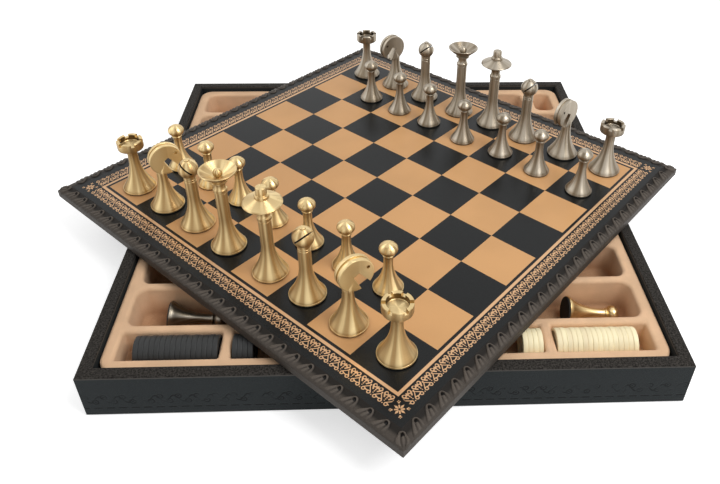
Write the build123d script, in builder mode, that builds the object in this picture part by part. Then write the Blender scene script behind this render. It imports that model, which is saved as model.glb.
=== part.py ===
"""Chess box: a leather-covered case with a flocked tray, a lift-off board for its lid, chessmen and draughts.

The origin is the middle of the case's underside, with +X to the right along the front wall, +Y towards
the back wall and +Z up. The board lies on the rim, turned about its middle, with the men set out on it.
"""

import os
from math import acos, asin, cos, radians, sin, sqrt

from build123d import *

# Case
case_side = 402.0
case_height = 37.3
wall_thickness = 9.0
wall_edge_round = 1.2
foot_felt_thickness = 1.0
foot_felt_inset = 3.0
floor_panel_thickness = 3.0
floor_panel_rebate = 4.0
floor_panel_gap = 0.2

# Flocked tray
tray_gap = 0.5
tray_corner_round = 12.0
tray_seat_depth = 4.4
tray_lip = 9.5
tray_floor_thickness = 1.2
pocket_round = 6.0
row_wall = 7.0
middle_wall = 8.0
men_rows = 8
trough_width = 24.0
trough_length = 68.0
trough_wall = 8.0
trough_round = 1.5
corner_pocket_length = 18.5
corner_pocket_wall = 12.0

# Draughts, which lie on edge in the troughs
draught_diameter = 23.0
draught_thickness = 3.5
draught_rise = 4.0
long_stack_count = 16
short_stack_count = 4
stack_end_gap = 0.8
lying_gap = 0.3

# Board, which is a thin panel in a frame of carved mouldings
square_side = 40.0
squares_across = 8
board_side = 381.0
board_thickness = 9.5
board_turn = -42.6
board_shift_x = -5.6
board_shift_y = 4.8
playing_sheet_thickness = 1.0
board_panel_thickness = 3.0
lining_felt_thickness = 0.6
moulding_width = 10.0
moulding_ledge = 4.0
moulding_ledge_thickness = 2.5
moulding_drop = 1.6
moulding_round = 1.6

# Chessmen, all turned on one flared foot, in bands between named levels
man_base_diameter = 27.0
pawn_base_diameter = 22.4
foot_height = 2.0
flare_angle = 38.0
flare_bands = 3
ball_bands = 5

pawn_stem_diameter = 6.8
pawn_collar_diameter = 8.4
pawn_collar_height = 1.9
pawn_ball_diameter = 13.4
pawn_ball_depth = 9.6
pawn_ball_level = 36.6

rook_stem_diameter = 8.0
rook_stem_height = 35.4
rook_drum_diameter = 20.6
rook_drum_level = 40.0
rook_height = 47.0
rook_well_diameter = 15.0
rook_well_depth = 4.0
rook_notches = 6
rook_notch_width = 3.4
rook_notch_depth = 2.6

knight_stem_diameter = 7.8
knight_head_diameter = 25.4
knight_head_thickness = 7.6
knight_head_level = 44.0
knight_head_reach = 5.0
knight_groove_width = 1.8
knight_groove_depth = 1.0
knight_mouth_inner_width = 4.8
knight_mouth_outer_width = 8.0
knight_mouth_angle = -58.0
knight_mouth_inset = 0.6
knight_eye_diameter = 2.4
knight_eye_reach = 8.2
knight_eye_lift = 4.5

bishop_stem_diameter = 9.2
bishop_ring_level = 42.0
bishop_ring_depth = 0.5
bishop_ball_diameter = 15.2
bishop_ball_level = 52.4
bishop_button_diameter = 4.4
bishop_button_height = 0.7

queen_height = 69.5
queen_stem_diameter = 9.2
queen_sleeve_drop = 24.5
queen_cup_rise = 12.0
queen_cup_diameter = 27.4
queen_cup_wall = 0.9
queen_cup_depth = 5.0
queen_cup_angle = 65.0
queen_cup_bands = 3
queen_well_share = 0.6
queen_ball_diameter = 6.6
queen_ball_neck_diameter = 4.0

king_height = 76.4
king_stem_diameter = 9.2
king_sleeve_drop = 31.4
king_brim_drop = 12.2
king_brim_diameter = 28.0
king_brim_edge = 1.0
king_brim_rise = 7.2
king_collar_diameter = 10.4
king_collar_rise = 3.8
king_collar_height = 1.8
king_button_diameter = 7.6

sleeve_height = 6.4
sleeve_step = 0.7
slit_width = 1.0
slit_angle = 45.0
slit_depth_share = 0.65

# Where each man stands on the board, as shares of a square from the first file and the first rank
brass_place_shares = {
    "rook_a": (0.50, 0.42),
    "knight_b": (1.46, 0.44),
    "bishop_c": (2.42, 0.47),
    "queen": (3.40, 0.45),
    "king": (4.56, 0.47),
    "bishop_f": (5.49, 0.51),
    "knight_g": (6.52, 0.48),
    "rook_h": (7.56, 0.50),
    "pawn_a": (0.50, 1.49),
    "pawn_b": (1.51, 1.50),
    "pawn_c": (2.44, 1.55),
    "pawn_d": (3.48, 1.51),
    "pawn_e": (4.49, 1.51),
    "pawn_f": (5.49, 1.51),
    "pawn_g": (6.44, 1.57),
}
pewter_place_shares = {
    "rook_a": (0.51, 7.49),
    "knight_b": (1.49, 7.54),
    "bishop_c": (2.48, 7.53),
    "queen": (3.61, 7.50),
    "king": (4.52, 7.57),
    "bishop_f": (5.47, 7.54),
    "knight_g": (6.52, 7.54),
    "rook_h": (7.56, 7.57),
    "pawn_b": (1.52, 6.56),
    "pawn_c": (2.47, 6.55),
    "pawn_d": (3.38, 6.58),
    "pawn_e": (4.46, 6.49),
    "pawn_f": (5.45, 6.60),
    "pawn_g": (6.46, 6.52),
    "pawn_h": (7.53, 6.47),
}

# How far each knight is turned from straight ahead, in degrees
knight_turn_angles = {
    "brass_knight_b": -18.0,
    "brass_knight_g": -20.0,
    "pewter_knight_b": -15.0,
    "pewter_knight_g": -6.0,
}

# Where the two spare pawns lie, from the outer end and the front of their pockets to their feet
spare_brass_inset = 49.0
spare_brass_reach = 22.0
spare_pewter_inset = 22.0
spare_pewter_reach = 24.0

# Levels and half sizes that the pieces share
overrun = 1.0
case_half = case_side / 2
opening_half = case_half - wall_thickness
floor_level = foot_felt_thickness + floor_panel_thickness
tray_top = case_height - tray_seat_depth
tray_half = opening_half - tray_gap
pocket_half = opening_half - tray_lip - tray_gap
pocket_floor = floor_level + tray_floor_thickness
front_row = -pocket_half + trough_width + row_wall
trough_floor = tray_top + draught_rise - draught_diameter - lying_gap
board_half = board_side / 2
board_panel_half = board_half - moulding_width
ledge_level = board_thickness - playing_sheet_thickness - board_panel_thickness - lining_felt_thickness
board_plane = Plane(
    origin=(board_shift_x, board_shift_y, case_height),
    x_dir=(cos(radians(board_turn)), sin(radians(board_turn)), 0),
    z_dir=(0, 0, 1),
)


def case_wall(turn):
    """One mitred wall, with rounded rim edges and a rebate for the floor panel."""
    plane = Plane.XY.rotated((0, 0, turn)).offset(foot_felt_thickness)
    with BuildPart() as wall:
        with BuildSketch(plane):
            with BuildLine():
                Polyline(
                    (-case_half, -case_half),
                    (case_half, -case_half),
                    (opening_half, -opening_half),
                    (-opening_half, -opening_half),
                    close=True,
                )
            make_face()
        extrude(amount=case_height - foot_felt_thickness)
        with BuildSketch(plane):
            Rectangle(2 * (opening_half + floor_panel_rebate), 2 * (opening_half + floor_panel_rebate))
        extrude(amount=floor_panel_thickness, mode=Mode.SUBTRACT)
        rim = wall.faces().sort_by(Axis.Z)[-1]
        fillet(rim.edges().filter_by(Axis((0, 0, 0), plane.x_dir)), radius=wall_edge_round)
    return wall.part


def floor_panel():
    """The case's floor, let into the walls."""
    side = 2 * (opening_half + floor_panel_rebate - floor_panel_gap)
    with BuildPart() as panel:
        with BuildSketch(Plane.XY.offset(foot_felt_thickness)):
            Rectangle(side, side)
        extrude(amount=floor_panel_thickness)
    return panel.part


def foot_felt():
    """Felt under the whole case."""
    side = case_side - 2 * foot_felt_inset
    with BuildPart() as felt:
        with BuildSketch():
            Rectangle(side, side)
        extrude(amount=foot_felt_thickness)
    return felt.part


def row_pockets():
    """The men's pockets, as low and high corners: rows of two, and a small one in the back right corner."""
    pitch = (pocket_half + row_wall - front_row) / men_rows
    pockets = []
    for row in range(men_rows):
        low = front_row + row * pitch
        high = low + pitch - row_wall
        right_end = pocket_half
        if row == men_rows - 1:
            corner = pocket_half - corner_pocket_length
            pockets.append((corner, low, pocket_half, high))
            right_end = corner - corner_pocket_wall
        pockets.append((-pocket_half, low, -middle_wall / 2, high))
        pockets.append((middle_wall / 2, low, right_end, high))
    return pockets


def draughts_troughs():
    """The shallower troughs along the front: one at each end and one between them."""
    low = -pocket_half
    high = low + trough_width
    inner = pocket_half - trough_length - trough_wall
    return [
        (-pocket_half, low, -pocket_half + trough_length, high),
        (-inner, low, inner, high),
        (pocket_half - trough_length, low, pocket_half, high),
    ]


def flocked_tray():
    """The moulded tray that fills the case below the rim."""
    with BuildPart() as tray:
        with BuildSketch(Plane.XY.offset(floor_level)):
            RectangleRounded(2 * tray_half, 2 * tray_half, tray_corner_round)
        extrude(amount=tray_top - floor_level)
        for corners, bottom, corner_round in (
            (row_pockets(), pocket_floor, pocket_round),
            (draughts_troughs(), trough_floor, trough_round),
        ):
            with BuildSketch(Plane.XY.offset(bottom)):
                for x_low, y_low, x_high, y_high in corners:
                    with Locations(((x_low + x_high) / 2, (y_low + y_high) / 2)):
                        RectangleRounded(x_high - x_low, y_high - y_low, corner_round)
            extrude(amount=tray_top - bottom + overrun, mode=Mode.SUBTRACT)
    return tray.part


def draughts_stack(first_x, count, step):
    """A stack of draughts on edge in a front trough, from first_x along the trough."""
    level = trough_floor + lying_gap + draught_diameter / 2
    middle = -pocket_half + trough_width / 2
    with BuildPart() as stack:
        with BuildSketch(Plane(origin=(first_x, middle, level), x_dir=(0, 1, 0), z_dir=(step, 0, 0))):
            Circle(draught_diameter / 2)
        extrude(amount=count * draught_thickness)
    return stack.part


def board_layer(bottom, thickness):
    """A square sheet inside the mouldings, from its level in the board."""
    with BuildPart() as layer:
        with BuildSketch(board_plane.offset(bottom)):
            Rectangle(2 * board_panel_half, 2 * board_panel_half)
        extrude(amount=thickness)
    return layer.part


def edge_moulding(turn):
    """One mitred moulding of the board's frame, sloping outwards, with a ledge for the panel."""
    side = Plane(board_plane.location * Location((0, 0, 0), (0, 0, turn)))
    section = Plane(
        origin=side.from_local_coords((-board_half, 0, 0)),
        x_dir=-side.y_dir,
        z_dir=-side.x_dir,
    )
    inner = board_half - moulding_width
    ledge = inner - moulding_ledge
    with BuildPart() as moulding:
        with BuildSketch(section) as outline:
            with BuildLine():
                Polyline(
                    (inner, 0),
                    (board_half, 0),
                    (board_half, board_thickness - moulding_drop),
                    (inner, board_thickness),
                    (inner, ledge_level),
                    (ledge, ledge_level),
                    (ledge, ledge_level - moulding_ledge_thickness),
                    (inner, ledge_level - moulding_ledge_thickness),
                    close=True,
                )
            make_face()
            fillet(outline.vertices().group_by(Axis.X)[-1], radius=moulding_round)
        extrude(amount=-board_side)
        with BuildSketch(side):
            with BuildLine():
                Polyline(
                    (-board_half, -board_half),
                    (board_half, -board_half),
                    (ledge, -ledge),
                    (-ledge, -ledge),
                    close=True,
                )
            make_face()
        extrude(amount=board_thickness, mode=Mode.INTERSECT)
    return moulding.part


def flare_points(base_diameter, stem_diameter):
    """A man's underside, foot and concave flare, out from the axis and up to the stem."""
    base_radius = base_diameter / 2
    stem_radius = stem_diameter / 2
    flare_radius = (base_radius - stem_radius) / (1 - cos(radians(flare_angle)))
    flare_top = foot_height + flare_radius * sin(radians(flare_angle))
    points = [(0, 0), (base_radius, 0)]
    for band in range(flare_bands + 1):
        angle = radians(flare_angle * (1 - band / flare_bands))
        points.append((stem_radius + flare_radius * (1 - cos(angle)), flare_top - flare_radius * sin(angle)))
    return points


def sleeve_points(stem_diameter, level):
    """A raised sleeve round a stem."""
    stem_radius = stem_diameter / 2
    sleeve_radius = stem_radius + sleeve_step
    top = level + sleeve_height
    return [
        (stem_radius, level - sleeve_step),
        (sleeve_radius, level),
        (sleeve_radius, top),
        (stem_radius, top + sleeve_step),
    ]


def ball_points(level, diameter, depth, neck_diameter, top_diameter=0):
    """A ball from its neck up to the axis, or to a flat of top_diameter."""
    neck_angle = -acos(neck_diameter / diameter)
    top_angle = acos(top_diameter / diameter)
    points = []
    for band in range(ball_bands + 1):
        angle = neck_angle + (top_angle - neck_angle) * band / ball_bands
        points.append((diameter / 2 * cos(angle), level + depth / 2 * sin(angle)))
    return points


def turned(points):
    """A solid turned about the z axis, from its outline between two points on the axis."""
    with BuildPart() as solid:
        with BuildSketch(Plane.XZ):
            with BuildLine():
                Polyline(*points, close=True)
            make_face()
        revolve(axis=Axis.Z)
    return solid.part


def slit_plane(level, diameter):
    """The slanting plane of a saw cut into a ball, with its origin at the middle of the cut."""
    angle = radians(slit_angle)
    reach = diameter / 2 * (1 - slit_depth_share)
    return Plane(
        origin=(reach * cos(angle), 0, level + reach * sin(angle)),
        x_dir=(cos(angle), 0, sin(angle)),
        z_dir=(-sin(angle), 0, cos(angle)),
    )


def pawn():
    """A pawn: flared foot, slim stem with a small collar, and a flattened ball."""
    ball = ball_points(pawn_ball_level, pawn_ball_diameter, pawn_ball_depth, pawn_collar_diameter)
    collar_start = (pawn_stem_diameter / 2, ball[0][1] - pawn_collar_height)
    return turned([*flare_points(pawn_base_diameter, pawn_stem_diameter), collar_start, *ball])


def rook():
    """A rook: a stem under a drum with a sunk top and a notched rim."""
    drum_radius = rook_drum_diameter / 2
    well_radius = rook_well_diameter / 2
    body = turned(
        [
            *flare_points(man_base_diameter, rook_stem_diameter),
            (rook_stem_diameter / 2, rook_stem_height),
            (drum_radius, rook_drum_level),
            (drum_radius, rook_height),
            (well_radius, rook_height),
            (well_radius, rook_height - rook_well_depth),
            (0, rook_height - rook_well_depth),
        ]
    )
    with BuildPart() as man:
        add(body)
        with BuildSketch(Plane.XY.offset(rook_height)):
            with PolarLocations((drum_radius + well_radius) / 2, rook_notches):
                Rectangle(2 * (drum_radius - well_radius), rook_notch_width)
        extrude(amount=-rook_notch_depth, mode=Mode.SUBTRACT)
    return man.part


def knight():
    """A knight: a thick grooved disc for the head, leaning forward, with an open mouth and a drilled eye."""
    head_radius = knight_head_diameter / 2
    stem_edge = knight_head_reach + knight_stem_diameter / 2
    stem_top = knight_head_level - sqrt(head_radius * head_radius - stem_edge * stem_edge) + overrun
    mouth_end = head_radius + overrun
    stem = turned(
        [
            *flare_points(man_base_diameter, knight_stem_diameter),
            (knight_stem_diameter / 2, stem_top),
            (0, stem_top),
        ]
    )
    with BuildPart() as man:
        with BuildSketch(Plane.XZ):
            with Locations((knight_head_reach, knight_head_level)):
                Circle(head_radius)
        extrude(amount=knight_head_thickness / 2, both=True)
        with BuildSketch(Plane.XZ):
            with Locations((knight_head_reach, knight_head_level)):
                Circle(head_radius + overrun)
                Circle(head_radius - knight_groove_depth, mode=Mode.SUBTRACT)
        extrude(amount=knight_groove_width / 2, both=True, mode=Mode.SUBTRACT)
        with BuildSketch(Plane.XZ):
            with Locations(Location((knight_head_reach, knight_head_level, 0), (0, 0, knight_mouth_angle))):
                Polygon(
                    (-knight_mouth_inset, -knight_mouth_inner_width / 2),
                    (mouth_end, -knight_mouth_outer_width / 2),
                    (mouth_end, knight_mouth_outer_width / 2),
                    (-knight_mouth_inset, knight_mouth_inner_width / 2),
                    align=None,
                )
            with Locations((knight_head_reach + knight_eye_reach, knight_head_level + knight_eye_lift)):
                Circle(knight_eye_diameter / 2)
        extrude(amount=knight_head_thickness, both=True, mode=Mode.SUBTRACT)
        add(stem)
    return man.part


def bishop():
    """A bishop: a ringed stem under a ball with a slanting slit and a small button."""
    stem_radius = bishop_stem_diameter / 2
    ball = ball_points(
        bishop_ball_level,
        bishop_ball_diameter,
        bishop_ball_diameter,
        bishop_stem_diameter,
        bishop_button_diameter,
    )
    button_top = bishop_ball_level + bishop_ball_diameter / 2 + bishop_button_height
    body = turned(
        [
            *flare_points(man_base_diameter, bishop_stem_diameter),
            (stem_radius, bishop_ring_level - bishop_ring_depth),
            (stem_radius - bishop_ring_depth, bishop_ring_level),
            (stem_radius, bishop_ring_level + bishop_ring_depth),
            *ball,
            (bishop_button_diameter / 2, button_top),
            (0, button_top),
        ]
    )
    with BuildPart() as man:
        add(body)
        with BuildSketch(slit_plane(bishop_ball_level, bishop_ball_diameter)):
            Rectangle(bishop_ball_diameter * slit_depth_share, bishop_ball_diameter)
        extrude(amount=slit_width / 2, both=True, mode=Mode.SUBTRACT)
    return man.part


def queen():
    """A queen: a sleeved stem under a flared cup with a ball in its middle."""
    stem_radius = queen_stem_diameter / 2
    lip_radius = queen_cup_diameter / 2 - queen_cup_wall
    well = queen_height - queen_cup_depth
    full = radians(queen_cup_angle)
    cup = []
    for band in range(queen_cup_bands + 1):
        angle = full * band / queen_cup_bands
        out = (queen_cup_diameter / 2 - stem_radius) * sin(angle) / sin(full)
        rise = queen_cup_rise * (1 - cos(angle)) / (1 - cos(full))
        cup.append((stem_radius + out, queen_height - queen_cup_rise + rise))
    neck_rise = sqrt(queen_ball_diameter**2 - queen_ball_neck_diameter**2) / 2
    ball_level = well + neck_rise
    ball = ball_points(ball_level, queen_ball_diameter, queen_ball_diameter, queen_ball_neck_diameter)
    return turned(
        [
            *flare_points(man_base_diameter, queen_stem_diameter),
            *sleeve_points(queen_stem_diameter, queen_height - queen_sleeve_drop),
            *cup,
            (lip_radius, queen_height),
            (lip_radius * queen_well_share, well),
            *ball,
        ]
    )


def king():
    """A king: a sleeved stem under a brimmed cone with a collar and a round button on top."""
    brim_radius = king_brim_diameter / 2
    brim_level = king_height - king_brim_drop
    collar_radius = king_collar_diameter / 2
    collar_level = brim_level + king_collar_rise
    collar_top = collar_level + king_collar_height
    button_radius = king_button_diameter / 2
    return turned(
        [
            *flare_points(man_base_diameter, king_stem_diameter),
            *sleeve_points(king_stem_diameter, king_height - king_sleeve_drop),
            (king_stem_diameter / 2, brim_level - king_brim_edge - king_brim_rise),
            (brim_radius, brim_level - king_brim_edge),
            (brim_radius, brim_level),
            (collar_radius, collar_level),
            (collar_radius, collar_top),
            (button_radius, collar_top),
            (button_radius, king_height),
            (0, king_height),
        ]
    )


def standing_plane(place, facing):
    """The plane on the board that a man stands on, with its x the way the man faces."""
    file_share, rank_share = place
    middle = squares_across / 2
    foot = board_plane.from_local_coords(
        ((file_share - middle) * square_side, (rank_share - middle) * square_side, board_thickness)
    )
    return Plane(origin=foot, x_dir=facing, z_dir=(0, 0, 1))


def standing_man(man, place, facing):
    """A man set out on the board."""
    with BuildPart() as placed:
        with Locations(standing_plane(place, facing)):
            add(man)
    return placed.part


def lying_pawn(foot_x, foot_y):
    """A pawn on its side in a pocket, resting on the edge of its foot and on its ball, head to the right."""
    base_radius = pawn_base_diameter / 2
    tilt = asin((base_radius - pawn_ball_diameter / 2) / pawn_ball_level)
    level = pocket_floor + lying_gap + base_radius * cos(tilt)
    foot = Plane(origin=(foot_x, foot_y, level), x_dir=(0, 1, 0), z_dir=(cos(tilt), 0, -sin(tilt)))
    with BuildPart() as man:
        with Locations(foot):
            add(pawn())
    return man.part


def write(part, name):
    part.label = name
    export_step(part, f"parts/{name}.step")


os.makedirs("parts", exist_ok=True)

write(foot_felt(), "foot_felt")
write(floor_panel(), "floor_panel")
wall_turns = {"front_wall": 0, "right_wall": 90, "back_wall": 180, "left_wall": 270}
for name, turn in wall_turns.items():
    write(case_wall(turn), name)
write(flocked_tray(), "flocked_tray")

write(board_layer(ledge_level, lining_felt_thickness), "lining_felt")
write(board_layer(ledge_level + lining_felt_thickness, board_panel_thickness), "board_panel")
write(board_layer(board_thickness - playing_sheet_thickness, playing_sheet_thickness), "playing_sheet")
moulding_turns = {"near_moulding": 0, "right_moulding": 90, "far_moulding": 180, "left_moulding": 270}
for name, turn in moulding_turns.items():
    write(edge_moulding(turn), name)

long_start = pocket_half - trough_length + stack_end_gap
short_start = pocket_half - trough_length - trough_wall - stack_end_gap
write(draughts_stack(-long_start, long_stack_count, -1), "black_draughts_long")
write(draughts_stack(-short_start, short_stack_count, 1), "black_draughts_short")
write(draughts_stack(long_start, long_stack_count, 1), "cream_draughts_long")
write(draughts_stack(short_start, short_stack_count, -1), "cream_draughts_short")

shapes = {
    "rook": rook(),
    "knight": knight(),
    "bishop": bishop(),
    "queen": queen(),
    "king": king(),
    "pawn": pawn(),
}
for metal, places, ahead in (("brass", brass_place_shares, 1), ("pewter", pewter_place_shares, -1)):
    for man, place in places.items():
        kind = man.split("_")[0]
        name = f"{metal}_{man}"
        facing = Vector(1, 0, 0)
        if kind == "knight":
            facing = (board_plane.y_dir * ahead).rotate(Axis.Z, knight_turn_angles[name])
        write(standing_man(shapes[kind], place, facing), name)
write(lying_pawn(pocket_half - spare_brass_inset, front_row + spare_brass_reach), "brass_pawn_h")
write(lying_pawn(spare_pewter_inset - pocket_half, front_row + spare_pewter_reach), "pewter_pawn_a")
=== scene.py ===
from math import acos, asin, cos, pi, radians, sin

import bmesh
import bpy
from bpy.props import FloatProperty, FloatVectorProperty, IntProperty, PointerProperty
from mathutils import Euler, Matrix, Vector


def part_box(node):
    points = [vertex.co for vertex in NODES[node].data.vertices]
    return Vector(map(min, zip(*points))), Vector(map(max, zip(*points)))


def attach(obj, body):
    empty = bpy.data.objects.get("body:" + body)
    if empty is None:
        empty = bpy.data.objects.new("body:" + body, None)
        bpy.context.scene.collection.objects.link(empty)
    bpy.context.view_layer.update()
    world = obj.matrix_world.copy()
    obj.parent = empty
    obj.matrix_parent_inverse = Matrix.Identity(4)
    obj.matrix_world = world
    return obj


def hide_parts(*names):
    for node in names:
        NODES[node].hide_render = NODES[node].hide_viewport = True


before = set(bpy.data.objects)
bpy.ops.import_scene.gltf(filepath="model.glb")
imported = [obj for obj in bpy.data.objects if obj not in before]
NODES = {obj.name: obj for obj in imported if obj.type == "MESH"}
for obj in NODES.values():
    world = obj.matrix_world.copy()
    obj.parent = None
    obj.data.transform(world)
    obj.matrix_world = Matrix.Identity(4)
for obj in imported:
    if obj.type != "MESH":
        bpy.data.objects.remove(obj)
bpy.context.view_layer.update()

bl_info = {
    "name": "Chess Box",
    "version": (1, 0, 0),
    "blender": (4, 5, 0),
    "location": "View3D > Sidebar > Chess Box",
    "description": "Dresses the chess box: case, flocked tray, carved board, turned men, draughts and studio",
    "category": "Object",
}

MM = 0.001

MOULDINGS = {"near_moulding": 0, "right_moulding": 90, "far_moulding": 180, "left_moulding": 270}

# The board's pattern, in metres and counts along one side
SQUARE = 0.04
SQUARES = 8
SCROLL_HEARTS = 35
LEAF_RUN = 0.368
LEAVES = 29

# The board's edge, in millimetres: where its mouldings start, their top there and their fall
MOULDING_REACH = 180.5
MOULDING_TOP = 9.5
MOULDING_SLOPE = 0.16


# Settings that a user would change


def length(label, note, default):
    """A size in metres."""
    return FloatProperty(
        name=label, description=note, default=default, subtype="DISTANCE", unit="LENGTH", precision=4
    )


def colour(label, note, default):
    """A colour, as linear values."""
    return FloatVectorProperty(
        name=label, description=note, default=(*default, 1), size=4, subtype="COLOR", min=0, max=1
    )


def position(label, note, default):
    """A place in metres."""
    return FloatVectorProperty(name=label, description=note, default=default, subtype="XYZ", unit="LENGTH")


def power(label, note, default):
    """The power of a lamp."""
    return FloatProperty(name=label, description=note, default=default, unit="POWER")


def share(label, note, default):
    """A plain number, such as a roughness."""
    return FloatProperty(name=label, description=note, default=default, min=0)


class CaseSettings(bpy.types.PropertyGroup):
    """The case's leather, felt and flock."""

    leather: colour("Leather", "Colour of the case's leather walls", (0.025, 0.0295, 0.031))
    rim: colour("Rim", "Colour of the embossed rim, worn a little lighter", (0.04, 0.036, 0.032))
    grain: length("Grain", "Depth of the leather's grain and embossing", 0.0004)
    felt: colour("Felt", "Colour of the felt under the case and under the board", (0.02, 0.02, 0.022))
    panel: colour("Panel", "Colour of the floor panel and the board's panel", (0.16, 0.11, 0.07))
    flock: colour("Flock", "Colour of the flocked tray", (0.80, 0.525, 0.325))
    roll: length("Rolled edge", "Radius of the tray's soft rim edges", 0.0026)


class BoardSettings(bpy.types.PropertyGroup):
    """The board's playing sheet and carved edge."""

    side: length("Square", "Side of one square", SQUARE)
    turn: FloatProperty(
        name="Turn",
        description="How far the board is turned on the case",
        default=radians(-42.6),
        subtype="ANGLE",
    )
    middle: position("Middle", "The middle of the board's underside", (-0.0056, 0.0048, 0.0373))
    black: colour("Black", "Colour of the black squares and border", (0.008, 0.0088, 0.009))
    tan: colour("Tan", "Colour of the tan squares", (0.64, 0.35, 0.15))
    foil: colour("Foil", "Colour of the printed inner line, scroll band and rosettes", (0.74, 0.45, 0.245))
    pitch: length("Scroll pitch", "Length of one heart of the scroll band", SQUARES * SQUARE / SCROLL_HEARTS)
    carving: colour("Carving", "Colour of the carved leaves", (0.08, 0.067, 0.056))
    leaf_pitch: length("Leaf pitch", "Distance between the leaves' drilled eyes", LEAF_RUN / LEAVES)
    leaf_reach: length("Leaf reach", "Distance from the board's middle to a row of eyes", 0.1838)


class MenSettings(bpy.types.PropertyGroup):
    """The turned men."""

    brass: colour("Brass", "Colour of the brass men", (0.86, 0.63, 0.33))
    pewter: colour("Pewter", "Colour of the pewter men", (0.45, 0.40, 0.325))
    felt: colour("Foot felt", "Colour of the felt under the men's feet", (0.02, 0.018, 0.015))
    steps: IntProperty(name="Steps", description="Steps of one full turn on the lathe", default=64, min=24)
    roughness: share("Roughness", "Roughness of the satin metal", 0.34)


class DraughtSettings(bpy.types.PropertyGroup):
    """The draughts."""

    black: colour("Black", "Colour of the black draughts", (0.03, 0.031, 0.031))
    cream: colour("Cream", "Colour of the cream draughts", (0.97, 0.83, 0.54))
    diameter: length("Diameter", "Diameter of one draught", 0.023)
    thickness: length("Thickness", "Thickness of one draught", 0.0035)


class StageSettings(bpy.types.PropertyGroup):
    """The studio: floor, light and camera."""

    floor: colour("Floor", "Colour of the floor", (0.9, 0.9, 0.9))
    world: share("World", "Strength of the light from all round", 0.5)
    glow: colour("Glow", "What the floor adds where it is seen, to show as white", (0.55, 0.55, 0.55))
    lamp_side: length("Lamp side", "Side of both lamps", 0.6)
    key: power("Key", "Power of the soft lamp on the right", 8.2)
    key_place: position("Key place", "Where the lamp on the right hangs", (0.55, -0.4, 1.05))
    fill: power("Fill", "Power of the soft lamp on the left", 1.8)
    fill_place: position("Fill place", "Where the lamp on the left hangs", (-1.1, 0.3, 1.1))
    lens: FloatProperty(name="Lens", description="Focal length in millimetres", default=35.8304)
    place: position("Camera", "Where the camera stands", (-0.010994, -0.506106, 0.402793))
    turn: FloatVectorProperty(
        name="Camera turn",
        description="How the camera is turned",
        default=(radians(54.117), radians(-0.8348), radians(-2.2484)),
        subtype="EULER",
    )
    shift: FloatVectorProperty(
        name="Shift",
        description="The lens shift, as shares of the frame's width",
        default=(-0.05547, -0.072),
        size=2,
    )


# Finishes


class Wire:
    """A node's socket in an expression: each operator adds one Math node to its finish."""

    def __init__(self, finish, socket):
        self.finish = finish
        self.socket = socket

    def math(self, operation, *others):
        """A Math node on this socket and others."""
        return self.finish.node("ShaderNodeMath", {"operation": operation}, dict(enumerate((self, *others))))

    def __add__(self, other):
        return self.math("ADD", other)

    __radd__ = __add__

    def __sub__(self, other):
        return self.math("SUBTRACT", other)

    def __rsub__(self, other):
        return self.finish.node("ShaderNodeMath", {"operation": "SUBTRACT"}, {0: other, 1: self})

    def __mul__(self, other):
        return self.math("MULTIPLY", other)

    def __truediv__(self, other):
        return self.math("DIVIDE", other)

    def __pow__(self, other):
        return self.math("POWER", other)

    def __mod__(self, other):
        return self.math("FLOORED_MODULO", other)

    def __abs__(self):
        return self.math("ABSOLUTE")

    def __lt__(self, other):
        return self.math("LESS_THAN", other)

    def __gt__(self, other):
        return self.math("GREATER_THAN", other)

    def __and__(self, other):
        return self.math("MINIMUM", other)

    def __or__(self, other):
        return self.math("MAXIMUM", other)

    def clamp(self):
        """Kept between 0 and 1."""
        return self.math("MAXIMUM", 0).math("MINIMUM", 1)

    def ease(self, low, high):
        """0 below low, 1 above high and smooth between them."""
        return self.finish.node(
            "ShaderNodeMapRange",
            {"interpolation_type": "SMOOTHSTEP"},
            {"Value": self, "From Min": low, "From Max": high},
        )


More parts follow.
